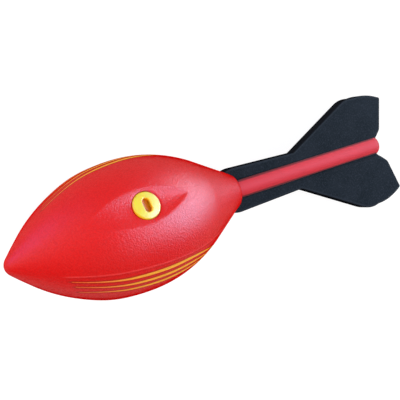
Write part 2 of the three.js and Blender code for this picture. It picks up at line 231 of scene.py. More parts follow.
scoop = {  # the leaf-shaped hollow over each whistle
    "frontReach": 44.0, "rearReach": 35.6, "width": 25.4, "depth": 3.7, "lead": 3.2,
    "wallPower": 2.3, "edgePower": 1.2, "floorPower": 1.3, "endPower": 0.85,
}
stripes = {  # painted grooves on each flank, by degrees from the upper whistle and stations along the body
    "count": 3, "firstDegrees": 58.4, "pitchDegrees": 7.4, "start": 31.5, "end": 145.0, "stagger": 2.5,
    "width": 3.1, "tipWidth": 0.6, "depth": 0.4, "widestShare": 0.6, "endTaper": 0.5, "leastHalf": 0.1,
    "groovePower": 1.5, "drift": 0.0004, "driftFrom": 48.0, "hook": 0.00025, "hookFrom": 100.0,
    "mostDrift": 20.0, "flare": 0.0017, "flareTo": 62.0,
}
parting = {  # the line that the mould's halves leave: a low ridge, a pale hair along it that is a painted highlight, and a painted shadow beside it
    "degrees": (-50.3, 129.7), "turn": 8.6e-6, "turnFrom": 36.0, "mostTurn": 17.0, "width": 0.5,
    "height": 0.25, "from": 24.0, "to": 172.0, "fade": 6.0, "hairWidth": 0.55, "shadowWidth": 0.6,
    "shadowOffset": 1.3, "shadowShare": 0.8,
}


def footballOutline():
    # A nose ball, an ogive that is tangent to it, a shoulder arc, a straight cone and a rim arc. The cone's
    # slope is the one at which the line from the shoulder arc touches the rim circle, found by halving.
    f = football
    ogiveRadius = ((f["noseToWidest"] - f["noseRadius"]) ** 2 + f["radius"] ** 2 - f["noseRadius"] ** 2) / (
        2 * (f["radius"] - f["noseRadius"]))
    ogiveCentre = (f["noseToWidest"], f["radius"] - ogiveRadius)
    ogiveStart = math.atan2(-ogiveCentre[1], f["noseRadius"] - ogiveCentre[0])
    rim = (f["length"] - f["rimRadius"], f["neckRadius"])
    run, drop = rim[0] - f["noseToWidest"], f["radius"] - rim[1]
    low, high = 0.0, math.pi / 2
    for _ in range(50):
        slope = (low + high) / 2
        miss = run * f["shoulderArcShare"] * math.tan(slope / 2) - run * math.sin(slope)
        miss += drop * math.cos(slope) - f["rimRadius"]
        low, high = (slope, high) if miss > 0 else (low, slope)
    arcRadius = run * f["shoulderArcShare"] / math.sin(slope)
    steps = f["arcSteps"]
    nose = arcPoints((f["noseRadius"], 0), f["noseRadius"], math.pi, ogiveStart, steps[0])
    ogive = arcPoints(ogiveCentre, ogiveRadius, ogiveStart, math.pi / 2, steps[1])
    shoulder = arcPoints((f["noseToWidest"], f["radius"] - arcRadius), arcRadius, math.pi / 2,
                         math.pi / 2 - slope, steps[2])
    rimArc = arcPoints(rim, f["rimRadius"], math.pi / 2 - slope, 0, steps[3])
    line = np.concatenate([nose, ogive[1:], shoulder[1:], rimArc])
    # the soft skin swells a little round two stations as bell curves, and its tip is drawn out as a square
    for station, swell in f["fullness"]:
        line[:, 1] += swell * np.exp(-((line[:, 0] - station) / f["fullnessSpread"]) ** 2)
    line[:, 0] -= f["noseReach"] * np.clip(1 - line[:, 0] / f["noseReachTo"], 0, 1) ** 2
    return line


outline = footballOutline()


def radiusAt(station):
    # the outline's radius, read between its points
    return np.interp(station, outline[:, 0], outline[:, 1])


def scoopDepthAt(station, arc):
    # Along the scoop the depth is a sine that one power skews and another fills out. Across it, it is one
    # less a power of the share out from the middle, raised to a power, so that the floor is round and the
    # edges are soft. The half width is one less the square of the share along, which runs out further
    # towards the nose than towards the tail.
    offset = station - (whistle["station"] - scoop["lead"])
    share = offset / np.where(offset < 0, scoop["frontReach"], scoop["rearReach"])
    inside = np.clip(share, -1, 1)
    half = np.maximum(scoop["width"] / 2 * (1 - inside ** 2), 1e-6)
    across = np.clip(np.abs(arc) / half, 0, 1)
    along = np.sin(math.pi * ((1 + inside) / 2) ** scoop["floorPower"]) ** scoop["endPower"]
    return scoop["depth"] * along * (1 - across ** scoop["wallPower"]) ** scoop["edgePower"]


def scoopFloor():
    # how far the scoop's floor is from the body's axis at the whistle
    return float(radiusAt(whistle["station"]) - scoopDepthAt(whistle["station"], 0.0))


def stripeFields(station, turn, radius):
    # For each stripe the signed arc distance to its middle line, and its half width there, which swells as a
    # sine of a power of the share along it. The two flanks are mirror images.
    arcs, halves = [], []
    power = math.log(0.5) / math.log(stripes["widestShare"])
    for i in range(stripes["count"]):
        start, end = stripes["start"] + stripes["stagger"] * i, stripes["end"] - stripes["stagger"] * i
        share = (station - start) / (end - start)
        swell = np.sin(math.pi * np.clip(share, 0, 1) ** power)
        half = (stripes["tipWidth"] + (stripes["width"] - stripes["tipWidth"]) * swell) / 2
        outside = np.maximum(start - station, station - end)
        halves.append(np.where(outside > 0, half - outside * stripes["endTaper"], half))
        middle = stripes["firstDegrees"] + stripes["pitchDegrees"] * i
        # it drifts round the body as a square law, hooks away as a cube law towards its rear end, and the
        # lower ones flare out as a square law towards the nose
        drift = stripes["drift"] * (station - stripes["driftFrom"]) ** 2
        drift = drift + stripes["flare"] * (i * np.maximum(stripes["flareTo"] - station, 0)) ** 2
        drift = drift + stripes["hook"] * np.maximum(station - stripes["hookFrom"], 0) ** 3
        middle = np.radians(middle + np.minimum(drift, stripes["mostDrift"]))
        arcs.append((np.abs(turn) - middle) * radius)
    return np.stack(arcs, -1), np.stack(halves, -1)


def grooveDepth(arcs, halves):
    # across a stripe one less the square of the share out, raised to a power, and shallower where it narrows
    hollow = np.clip(1 - (arcs / np.maximum(halves, 1e-3)) ** 2, 0, 1) ** stripes["groovePower"]
    narrow = np.clip(halves / (stripes["width"] / 2), 0, 1)
    return stripes["depth"] * (hollow * (halves > stripes["leastHalf"]) * narrow).max(-1)


def partingFields(station, turn, radius):
    # The ridge is a bell curve of the arc distance to the nearer parting line, and the seam's tone is one
    # bell curve less another beside it: a painted highlight on the ridge less a painted shadow beside it. The
    # line turns round the body as a cube law, the same way on both halves, and fades at its ends.
    turned = parting["turn"] * np.maximum(station - parting["turnFrom"], 0) ** 3
    turned = np.minimum(turned, parting["mostTurn"])
    arc = np.stack([wrapTurn(turn - np.radians(degrees - turned)) for degrees in parting["degrees"]])
    arc = np.take_along_axis(arc, np.abs(arc).argmin(0)[None], 0)[0] * radius
    along = smoothStep((station - parting["from"]) / parting["fade"])
    along = along * smoothStep((parting["to"] - station) / parting["fade"])
    ridge = parting["height"] * np.exp(-(arc / parting["width"]) ** 2) * along
    # the pale hair is a painted highlight on the ridge, and the line beside it a painted shadow
    hair = np.exp(-(arc / parting["hairWidth"]) ** 2)
    shadow = np.exp(-((arc + parting["shadowOffset"]) / parting["shadowWidth"]) ** 2)
    return ridge, (hair - parting["shadowShare"] * shadow) * along


def columnTurns():
    # Turns from the upper whistle round the body, closer together at the stripes and the parting line: the
    # running sum of a density is cut into equal parts. Each half turn starts on a column of its own, so that
    # both whistles sit on one, and all the columns share the whistles' lean.
    centres = [stripes["firstDegrees"] + stripes["pitchDegrees"] * i + drift
               for i in range(stripes["count"]) for drift in bodyGrid["stripeDrifts"]]
    seams = [degrees - share * parting["mostTurn"]
             for degrees in parting["degrees"] for share in bodyGrid["partingShares"]]
    lines = np.radians([*centres, *[-c for c in centres], *seams])
    samples = bodyGrid["turnSamples"]
    fine = np.linspace(0, 2 * math.pi, samples + 1)
    offset = np.abs(wrapTurn(fine[:, None] - lines[None, :])) * football["radius"]
    near = smoothStep((bodyGrid["fineReach"] - offset.min(1)) / bodyGrid["fineFade"])
    density = (1 - near) / bodyGrid["columnStep"] + near / bodyGrid["fineColumnStep"]
    total = np.concatenate([[0], np.cumsum((density[1:] + density[:-1]) / 2 * np.diff(fine))])
    total = total * football["radius"]
    turns = []
    for low, high in ((0, samples // 2), (samples // 2, samples)):
        count = int(round(total[high] - total[low]))
        sums = np.linspace(total[low], total[high], count, endpoint=False)
        turns.append(np.interp(sums, total, fine))
    return np.concatenate(turns) + math.radians(whistle["leanDegrees"]), len(turns[0])


def evenRows():
    # stations at even arc lengths along the outline, with one of them at the whistle
    length = np.concatenate([[0], np.cumsum(np.hypot(*np.diff(outline, axis=0).T))])
    middle = np.interp(whistle["station"], outline[:, 0], length)
    before = np.linspace(0, middle, int(middle / bodyGrid["rowStep"]), endpoint=False)
    after = np.linspace(middle, length[-1], int((length[-1] - middle) / bodyGrid["rowStep"]))
    samples = np.concatenate([before, after])
    stations, radii = (np.interp(samples, length, outline[:, k]) for k in (0, 1))
    return stations, radii, len(before)


def ringPlaces(turns, half, rows, whistleRow):
    # Square rings of grid points round each whistle become circles: a point keeps its direction from the
    # middle, and its distance out follows its ring. The inner rings form the pocket: a rounded lip, the
    # cap's seat, and the bore that holds the cup.
    columns = len(turns)
    holeRadius = whistle["capRadius"] + whistle["gap"]
    boreRadius = whistle["cupRadius"] + whistle["gap"]
    rowOffset = (np.arange(rows) - whistleRow)[:, None] + np.zeros((1, columns))
    places = []
    for column in (0, half):
        columnOffset = (np.arange(columns) - column + columns / 2) % columns - columns / 2
        columnOffset = columnOffset[None, :] + np.zeros((rows, 1))
        ring = np.maximum(np.abs(rowOffset), np.abs(columnOffset))
        reach = np.maximum(np.hypot(rowOffset, columnOffset), 1e-9)
        spread = ring * holeRadius / pocketRings["hole"]
        spread = np.where(ring == pocketRings["lip"], holeRadius + whistle["lipWidth"], spread)
        spread = np.where((ring < pocketRings["hole"]) & (ring >= pocketRings["seat"]), holeRadius, spread)
        spread = np.where(ring <= pocketRings["bore"], boreRadius, spread)
        spread = np.where(ring < pocketRings["floor"], boreRadius * ring / pocketRings["floor"], spread)
        places.append((turns[column], ring, spread * rowOffset / reach, spread * columnOffset / reach))
    return places


def drawIn(station, turn, places):
    # the grid's stations and turns, blended ring by ring with the circles' own towards each whistle
    floor = scoopFloor()
    for base, ring, x, y in places:
        share = (ring - pocketRings["blend"]) / (pocketRings["outer"] - pocketRings["blend"])
        weight = 1 - smoothStep(share)
        near = ring < pocketRings["outer"]
        circleTurn = np.arcsin(np.clip(y / floor, -0.9, 0.9))
        step = wrapTurn(turn - base)
        station = np.where(near, weight * (whistle["station"] + x) + (1 - weight) * station, station)
        turn = np.where(near, base + weight * circleTurn + (1 - weight) * step, turn)
    return station, turn


def setPockets(points, places, roll):
    # the pocket's points, square to the body's axis at each whistle, at the height of their ring
    seat = scoopFloor() - whistle["recess"]
    boreFloor = seat - whistle["cupDepth"] - whistle["gap"]
    for base, ring, x, y in places:
        outward, tangent = radialAxes(roll + base)
        height = points @ outward - whistle["lipDrop"]
        height = np.where(ring < pocketRings["hole"], seat, height)
        height = np.where(ring <= pocketRings["floor"], boreFloor, height)
        pocket = height[..., None] * outward + y[..., None] * tangent
        pocket[..., 0] = whistle["station"] + x
        points = np.where((ring <= pocketRings["hole"])[..., None], pocket, points)
    return points


def footballSurface():
    # A grid of stations and turns round the axis. A point's distance out is the outline's radius, less the
    # scoop and the deepest groove, plus the parting ridge, and each whistle has its pocket.
    stations, radii, whistleRow = evenRows()
    turns, half = columnTurns()
    station = np.repeat(stations[:, None], len(turns), 1)
    turn = np.repeat(turns[None, :], len(stations), 0)
    radius = np.repeat(radii[:, None], len(turns), 1)
    places = ringPlaces(turns, half, len(stations), whistleRow)
    station, turn = drawIn(station, turn, places)
    warped = np.minimum(places[0][1], places[1][1]) < pocketRings["outer"]
    radius = np.where(warped, radiusAt(station), radius)
    lean = math.radians(whistle["leanDegrees"])
    away = np.abs((turn - lean + math.pi / 2) % math.pi - math.pi / 2)
    arcs, halves = stripeFields(station, wrapTurn(turn), radius)
    ridge, seam = partingFields(station, wrapTurn(turn), radius)
    outer = radius - scoopDepthAt(station, radius * away) - grooveDepth(arcs, halves) + ridge
    roll = math.radians(whistle["rollDegrees"])
    points = np.stack([station, outer * np.sin(roll + turn), outer * np.cos(roll + turn)], -1)
    return station, setPockets(points, places, roll), arcs, halves, seam


def makeFootball(material):
    # The grid's rings from the second on, closed by a point at the toy's origin, and at the rear two rings in
    # the neck, a lip close round the tube and a hidden one, closed by a point.
    station, grid, arcs, halves, seam = footballSurface()
    columns = grid.shape[1]
    turns = np.arctan2(grid[-1, :, 1], grid[-1, :, 2])
    inside = football["length"] - football["hiddenDepth"]
    neck = [np.stack([np.full(columns, along), out * np.sin(turns), out * np.cos(turns)], -1)
            for along, out in ((football["length"] - football["neckLip"],
                                football["tubeRadius"] + football["neckGap"]),
                               (inside, football["hiddenRadius"]))]
    points, faces = closedRings(np.concatenate([grid[1:], np.stack(neck)]), (0, 0, 0), (inside, 0, 0))

    def perPoint(field):
        # a field of the grid as one value a point, with the nose and the hidden rear filled in
        front = field[:1, :1].reshape(1, *field.shape[2:])
        middle = field[1:].reshape(-1, *field.shape[2:])
        rear = np.repeat(field[-1:, :1].reshape(1, *field.shape[2:]), 2 * columns + 1, 0)
        return np.concatenate([front, middle, rear])

    attributes = {"stripeArc": perPoint(arcs), "stripeHalf": perPoint(halves), "seam": perPoint(seam),
                  "station": perPoint(station)}
    piece = makePiece("footballSkin", points, faces, material, ["foam_body"], attributes,
                      football["sharpDegrees"])


skin = {  # sizes and heights in millimetres; a layer's two levels, strength, easing and colour
    "pebble": 1.053, "wrinkle": 0.667, "bend": 2.38, "bendReach": 2.2, "blotch": 35.7, "sprayGrain": 1.11,
    "sprayRagged": 0.35, "pebbleWeight": -1.1, "wrinkleWeight": 0.9, "grainHeight": 0.24,
    "grainStrength": 0.55, "reds": ("#E40C0A", "#EC120D"),
    "grainTopHighlight": (0.5, 0.72, 0.35, "LINEAR", "#F04038"),  # the wrinkles' tops are painted paler, a painted highlight on the grain
    "stripeShade": (-1.6, -0.2, 0.75, "SMOOTHSTEP", "#B41A00"),  # painted shade that darkens the red beside and between the stripes
    "hollows": (0.3, 0.75, 0.4, "LINEAR", "#CC0806"),  # painted shade, darker between the pebbles
    "seamHighlight": (0.15, 1.0, 0.45, "LINEAR", "#FF5450"),  # a painted highlight, a hair of paler red on the parting line's ridge
    "seamShadow": (-0.1, -0.7, 0.25, "LINEAR", "#A00409"),  # and a faint shadow line beside it
    "thinPaint": "#FF8850",  # towards the nose the spray is thinner, so that the red shows through it
    "thickPaint": (35.0, 72.0, 1.0, "LINEAR", "#FFB636"),  # by the station along the body
    "paintEdge": "#F26A10", "paintMiddle": (0.25, 0.8, 1.0, "SMOOTHSTEP"),
    "paint": (0.08, 0.3, 1.0, "SMOOTHSTEP"),
    "grainLevels": (-0.5, 0.4), "roughness": (0.48, 0.34), "ior": 1.3, "gloss": (0.5, 0.25, 0.8),
}


def stripeReach(tree, place):
    # How far a point lies inside the nearest stripe, in millimetres: the greatest of the half widths less
    # the arc distances, plus a noise that makes the spray's edge ragged.
    arc = addNode(tree, "ShaderNodeAttribute", attribute_name="stripeArc")
    half = addNode(tree, "ShaderNodeAttribute", attribute_name="stripeHalf")
    away = addNode(tree, "ShaderNodeVectorMath", {0: arc.outputs["Vector"]}, operation="ABSOLUTE")
    inside = addNode(tree, "ShaderNodeVectorMath", {0: half.outputs["Vector"], 1: away.outputs[0]},
                     operation="SUBTRACT")
    parts = addNode(tree, "ShaderNodeSeparateXYZ", {0: inside.outputs[0]})
    most = parts.outputs[0]
    for other in (parts.outputs[1], parts.outputs[2]):
        most = addNode(tree, "ShaderNodeMath", {0: most, 1: other}, operation="MAXIMUM").outputs[0]
    ragged = addNode(tree, "ShaderNodeTexNoise", {"Vector": place, "Scale": perMetre(skin["sprayGrain"]),
                                                  "Detail": 2.0})
    reach = addNode(tree, "ShaderNodeMath", {0: ragged.outputs[0], 1: skin["sprayRagged"], 2: most},
                    operation="MULTIPLY_ADD")
    return reach.outputs[0]


def skinnedFoam():
    # Integral-skin polyurethane foam, moulded: a soft closed skin with the fine leather grain of the mould,
    # dull in the hollows and softly shining on the grain's tops. The pebbles of the grain and the wrinkles
    # between them are drawn a little coarser than they are, so that they show. The stripes are sprayed into
    # shallow grooves.
    material, tree = startMaterial("moulded polyurethane foam, red")
    place = addNode(tree, "ShaderNodeTexCoord").outputs["Object"]
    # a slower noise bends the grain, so that it runs in no rows
    bend = addNode(tree, "ShaderNodeTexNoise", {"Vector": place, "Scale": perMetre(skin["bend"]),
                                                "Detail": 2.0})
    shift = addNode(tree, "ShaderNodeVectorMath", {0: bend.outputs["Color"], 1: (0.5,) * 3},
                    operation="SUBTRACT")
    shift = addNode(tree, "ShaderNodeVectorMath", {0: shift.outputs[0], 1: (skin["bendReach"] / 1000,) * 3},
                    operation="MULTIPLY")
    bent = addNode(tree, "ShaderNodeVectorMath", {0: place, 1: shift.outputs[0]}, operation="ADD").outputs[0]
    pebbles = addNode(tree, "ShaderNodeTexVoronoi", {"Vector": bent, "Scale": perMetre(skin["pebble"]),
                                                     "Smoothness": 0.5}, feature="SMOOTH_F1")
    pebbles = pebbles.outputs["Distance"]
    wrinkles = addNode(tree, "ShaderNodeTexNoise", {"Vector": bent, "Scale": perMetre(skin["wrinkle"]),
                                                    "Detail": 3.0, "Roughness": 0.6}).outputs[0]
    height = addNode(tree, "ShaderNodeMath", {0: pebbles, 1: skin["pebbleWeight"]}, operation="MULTIPLY")
    height = addNode(tree, "ShaderNodeMath", {0: wrinkles, 1: skin["wrinkleWeight"], 2: height.outputs[0]},
                     operation="MULTIPLY_ADD").outputs[0]
    blotch = addNode(tree, "ShaderNodeTexNoise", {"Vector": place, "Scale": perMetre(skin["blotch"]),
                                                  "Detail": 3.0})
    red, otherRed = (linear(tone) for tone in skin["reds"])
    red = addNode(tree, "ShaderNodeMix", {"Factor": blotch.outputs[0], 6: red, 7: otherRed},
                  data_type="RGBA").outputs[2]
    reach = stripeReach(tree, place)
    seam = addNode(tree, "ShaderNodeAttribute", attribute_name="seam").outputs["Fac"]
    station = addNode(tree, "ShaderNodeAttribute", attribute_name="station").outputs["Fac"]
    # painted light on the red: the grain's tops get a painted highlight and the dips between the pebbles
    # painted shade, the red beside the stripes gets painted shade, and the parting line a painted highlight
    # and a painted shadow
    red = layerColours(tree, red, [
        (wrinkles, *skin["grainTopHighlight"]), (reach, *skin["stripeShade"]), (pebbles, *skin["hollows"]),
        (seam, *skin["seamHighlight"]), (seam, *skin["seamShadow"])])
    full = layerColours(tree, linear(skin["thinPaint"]), [(station, *skin["thickPaint"])])
    yellow = layerColours(tree, linear(skin["paintEdge"]), [(reach, *skin["paintMiddle"], full)])
    colour = layerColours(tree, red, [(reach, *skin["paint"], yellow)])
    low, high = skin["grainLevels"]
    dull, shining = skin["roughness"]
    rough = addNode(tree, "ShaderNodeMapRange", {"Value": height, "From Min": low, "From Max": high,
                                                 "To Min": dull, "To Max": shining})
    bump = addNode(tree, "ShaderNodeBump", {"Height": height, "Strength": skin["grainStrength"],
                                            "Distance": skin["grainHeight"] / 1000})
    finishMaterial(tree, {"Base Color": colour, "Roughness": rough.outputs[0], "IOR": skin["ior"],
                          "Specular IOR Level": softGloss(tree, *skin["gloss"]), "Normal": bump.outputs[0]})
    return material


makeFootball(skinnedFoam())


# Whistle caps

cap = {
    "rimThickness": 1.55, "crown": 1.3, "edgeRadius": 1.4, "rimLift": 0.15, "slotLength": 9.4,
    "slotWidth": 5.0, "slotEdge": 0.8, "skirtLength": 3.0, "skirtWall": 1.0, "cupWall": 1.2,
    "columns": 144, "arcSteps": 9, "crownSteps": 16, "slotFade": 0.1,
}
tongue = {
    "halfWidth": 2.9, "reach": 6.1, "top": -0.35, "slope": 0.14, "thickness": 0.9, "rows": 25,
    "columns": 49,
}


def capSurface():
    # A ring of profiles round the whistle's axis. Each point's distance out blends from the slot's outline,
    # a rectangle with half round ends, to the cap's circle. The profile runs up the slot's wall, over the
    # crown, down the rim, and back under the cap and round its skirt.
    angle = np.linspace(0, 2 * math.pi, cap["columns"], endpoint=False)
    c, s = np.abs(np.cos(angle)), np.abs(np.sin(angle))
    half = cap["slotWidth"] / 2
    straight = (cap["slotLength"] - cap["slotWidth"]) / 2
    side = half / np.maximum(c, 1e-9)
    end = straight * s + np.sqrt(np.maximum(half ** 2 - (straight * c) ** 2, 0))
    slot = np.where(side * s <= straight, side, end)
    radius = whistle["capRadius"]

    def crownAt(out):
        # the top falls off as the square of the distance out
        return cap["rimThickness"] + cap["crown"] * (1 - (out / radius) ** 2)

    quarter = np.linspace(0, math.pi / 2, cap["arcSteps"])
    edge = cap["slotEdge"]
    edgeIn = radius - cap["edgeRadius"]
    skirtOuter = whistle["cupRadius"] - cap["cupWall"] - whistle["gap"]
    skirtInner = skirtOuter - cap["skirtWall"]
    profile = []  # distance out, height, and how near an edge is, from 0 to 1, for the painted edge shade
    for a, near in zip(quarter, np.linspace(1, cap["slotFade"], cap["arcSteps"])):
        height = crownAt(slot + edge) - edge * (1 - math.sin(a))
        profile.append((slot + edge * (1 - math.cos(a)), height, near))
    for share in np.linspace(0, 1, cap["crownSteps"])[1:-1]:
        out = slot + edge + (edgeIn - slot - edge) * share
        profile.append((out, crownAt(out), 0))
    for a, near in zip(quarter, np.linspace(0, 1, cap["arcSteps"])):
        height = crownAt(edgeIn) - cap["edgeRadius"] * (1 - math.cos(a))
        profile.append((edgeIn + cap["edgeRadius"] * math.sin(a), height, near))
    for out, height in ((radius, cap["rimLift"]), (radius - cap["rimLift"], 0), (skirtOuter, 0),
                        (skirtOuter, -cap["skirtLength"]), (skirtInner, -cap["skirtLength"]),
                        (skirtInner, 0), (slot, 0)):
        profile.append((out, height, 1))
    out, up, near = (np.stack([row[k] + 0 * slot for row in profile]) for k in range(3))
    return out * np.cos(angle), out * np.sin(angle), up, near.ravel()


def tongueSurface():
    # A slanted plate under the slot that splits the air: straight sides, and ends on a circle that bites
    # into the cap's skirt. Its height is a straight line across it.
    x = np.linspace(-tongue["halfWidth"], tongue["halfWidth"], tongue["rows"])[:, None]
    y = np.linspace(-1, 1, tongue["columns"])[None, :] * np.sqrt(tongue["reach"] ** 2 - x ** 2)
    top = tongue["top"] - tongue["slope"] * (x + tongue["halfWidth"]) + 0 * y
    return np.stack([x + 0 * y] * 2), np.stack([y, y]), np.stack([top, top - tongue["thickness"]])


def onWhistle(index, x, y, up):
    # from a whistle's own axes, with its height above the seat, to the toy's
    lean = math.radians(whistle["rollDegrees"] + whistle["leanDegrees"])
    outward, tangent = radialAxes(lean + 2 * math.pi * index / whistle["count"])
    height = scoopFloor() - whistle["recess"] + whistle["gap"] + up
    points = height[..., None] * outward + y[..., None] * tangent
    points[..., 0] += whistle["station"] + x
    return points


def makeCap(index, name, node, material):
    # one closed ring of profiles, with its nearness to the edges for the painted edge shade
    x, y, up, near = capSurface()
    makePiece(name, onWhistle(index, x, y, up), [gridFaces(*x.shape, True, True)], material,
              [node], {"edge": near})


def makeTongue(index, name, material):
    # the plate's two faces and the wall between them
    points = onWhistle(index, *tongueSurface())
    makePiece(name, points, slabFaces(tongue["rows"], tongue["columns"]), material, [])


plastic = {  # sizes and heights in millimetres; the painted shade at the edges is a layer as for the body's skin
    "sink": 6.25, "sinkHeight": 0.4, "sinkStrength": 0.3, "dust": 0.4, "roughness": (0.36, 0.46),
    "ior": 1.53, "edges": (0.0, 1.0, 0.8, "LINEAR"), "glow": 0.6, "glowDepth": 4.0,
    "glowTones": (1.0, 0.5, 0.1),
}


def glossyPlastic(name, colour, shade, edgeShade):
    # Injection-moulded plastic, thin enough to glow where light gets behind it: an even colour through and
    # through, a soft gloss, and the faint waviness that shrinkage leaves under it. Its edges are painted a
    # deeper colour, as painted shade round the rim and the slot.
    material, tree = startMaterial(name)
    place = addNode(tree, "ShaderNodeTexCoord").outputs["Object"]
    sink = addNode(tree, "ShaderNodeTexNoise", {"Vector": place, "Scale": perMetre(plastic["sink"]),
                                                "Detail": 2.0})
    dust = addNode(tree, "ShaderNodeTexNoise", {"Vector": place, "Scale": perMetre(plastic["dust"]),
                                                "Detail": 2.0})
    tone = addNode(tree, "ShaderNodeMix", {"Factor": sink.outputs[0], 6: linear(colour), 7: linear(shade)},
                   data_type="RGBA")
    near = addNode(tree, "ShaderNodeAttribute", attribute_name="edge")
    tone = layerColours(tree, tone.outputs[2], [(near.outputs["Fac"], *plastic["edges"], edgeShade)])
    smooth, dusty = plastic["roughness"]
    rough = addNode(tree, "ShaderNodeMapRange", {"Value": dust.outputs[0], "To Min": smooth,
                                                 "To Max": dusty})
    bump = addNode(tree, "ShaderNodeBump", {"Height": sink.outputs[0], "Strength": plastic["sinkStrength"],
                                            "Distance": plastic["sinkHeight"] / 1000})
    finishMaterial(tree, {"Base Color": tone, "Roughness": rough.outputs[0], "IOR": plastic["ior"],
                          "Subsurface Weight": plastic["glow"], "Subsurface Radius": plastic["glowTones"],
                          "Subsurface Scale": plastic["glowDepth"] / 1000, "Normal": bump.outputs[0]})
    return material


# the last colour of each plastic is the painted shade of its edges
yellowAbs = glossyPlastic("injection-moulded ABS, yellow", "#FFDC18", "#FFE83A", "#F59A00")
# the cups and the tongues are of the caps' yellow plastic, coloured amber as painted shade inside the
# whistles
shadedYellowAbs = glossyPlastic("injection-moulded ABS, yellow, painted amber shade", "#FA8600", "#FF9408", "#F07A00")
greyNylon = glossyPlastic("injection-moulded nylon, grey", "#8F8F8A", "#9C9C96", "#84847E")
makeCap(0, "upperCap", "upper_whistle_cap", yellowAbs)
makeCap(1, "lowerCap", "lower_whistle_cap", yellowAbs)
makeTongue(0, "upperTongue", shadedYellowAbs)
makeTongue(1, "lowerTongue", shadedYellowAbs)
for node, finish in (("upper_whistle_cup", shadedYellowAbs), ("lower_whistle_cup", shadedYellowAbs),
                     ("core_rod", greyNylon), ("anchor_plate", greyNylon)):
    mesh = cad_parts[node].data
    mesh.materials.clear()
    mesh.materials.append(finish)
print("finished the cups, the rod and the plate")

# Fins

fin = {
    "thickness": 9.6, "innerEdge": 3.0, "front": 152.0, "tangHalfWidth": 12.2, "shoulderStart": 164.5,
    "shoulderEnd": 177.5, "kneeLift": 0.25, "stripHalfWidth": 15.6, "rootStation": 230.7,
    "rootHalfWidth": 13.8, "frontStation": 287.4, "frontHalfWidth": 43.2, "frontRadius": 20.0,
    "tipStation": 318.9, "tipHalfWidth": 35.4, "tipRadius": 1.6, "edgeBulge": 1.7, "heelStation": 311.8,
    "heelHalfWidth": 12.4, "heelRadius": 6.0, "endStation": 302.5, "edgeRadius": 0.9, "lean": -0.0303,
    "leanFrom": 178.0, "columns": 230, "rows": 64, "curveSteps": 24, "tipSteps": 10, "heelSteps": 16,
    "seamAt": 6.2, "seamPinch": 0.8, "seamSpread": 0.9, "parts": 16,
}


def bezier(start, pull, end, count):
    # a quadratic curve: the square-law blend of its start, its pull point and its end
    t = np.linspace(0, 1, count)[:, None]
    return (1 - t) ** 2 * np.array(start) + 2 * t * (1 - t) * np.array(pull) + t ** 2 * np.array(end)


def cornerStops(before, corner, after, radius):
    # where a corner's rounding starts and ends: a radius over the tangent of half its angle from the corner
    corner = np.array(corner, float)
    first, second = np.array(before) - corner, np.array(after) - corner
    first, second = first / np.hypot(*first), second / np.hypot(*second)
    setback = radius / math.tan(math.acos(float(first @ second)) / 2)
    return corner + first * setback, corner + second * setback


def evenly(points, shares):
    # points of a polyline at shares of its length
    length = np.concatenate([[0], np.cumsum(np.hypot(*np.diff(points, axis=0).T))])
    return np.stack([np.interp(shares * length[-1], length, points[:, k]) for k in (0, 1)], -1)


def finSheet(f):
    # The flat sheet is a patch between its four edges: inner, outer, front end and rear. A point is the
    # blend of the two long edges plus the blend of the two short ones, less the blend of the corners. Both
    # blends crowd the points at the edges as a cosine.
    root, front = (f["rootStation"], f["rootHalfWidth"]), (f["frontStation"], f["frontHalfWidth"])
    tip, heel = (f["tipStation"], f["tipHalfWidth"]), (f["heelStation"], f["heelHalfWidth"])
    start, end = (f["front"], f["innerEdge"]), (f["endStation"], f["innerEdge"])
    frontStart, frontEnd = cornerStops(root, front, tip, f["frontRadius"])
    tipStart, tipEnd = cornerStops(front, tip, heel, f["tipRadius"])
    heelStart, heelEnd = cornerStops(tip, heel, end, f["heelRadius"])
    knee = ((f["shoulderStart"] + f["shoulderEnd"]) / 2, f["stripHalfWidth"] + f["kneeLift"])
    shoulder = bezier((f["shoulderStart"], f["tangHalfWidth"]), knee,
                      (f["shoulderEnd"], f["stripHalfWidth"]), f["curveSteps"])
    bulge = (frontEnd + tipStart) / 2 + np.array([0, 2 * f["edgeBulge"]])
    tipCurve = bezier(tipStart, tip, tipEnd, 2 * f["tipSteps"] + 1)
    outer = np.concatenate([
        [(f["front"], f["tangHalfWidth"])], shoulder, [root],
        bezier(frontStart, front, frontEnd, f["curveSteps"]),
        bezier(frontEnd, bulge, tipStart, f["curveSteps"])[1:-1], tipCurve[:f["tipSteps"] + 1]])
    rear = np.concatenate([[end], bezier(heelEnd, heel, heelStart, f["heelSteps"]),
                           tipCurve[f["tipSteps"]:][::-1]])
    u = (1 - np.cos(np.linspace(0, math.pi, f["columns"]))) / 2
    v = (1 - np.cos(np.linspace(0, math.pi, f["rows"]))) / 2
    outer, inner = evenly(outer, u), evenly(np.array([start, end]), u)
    front, rear = evenly(np.array([inner[0], outer[0]]), v), evenly(rear, v)
    u, v = u[None, :, None], v[:, None, None]
    sheet = (1 - v) * inner[None] + v * outer[None] + (1 - u) * front[:, None] + u * rear[:, None]
    sheet = sheet - (1 - u) * (1 - v) * inner[0] - u * (1 - v) * inner[-1]
    sheet = sheet - (1 - u) * v * outer[0] - u * v * outer[-1]
    border = np.concatenate([sheet[0], sheet[:, -1], sheet[-1, ::-1], sheet[::-1, 0]])
    return sheet, border


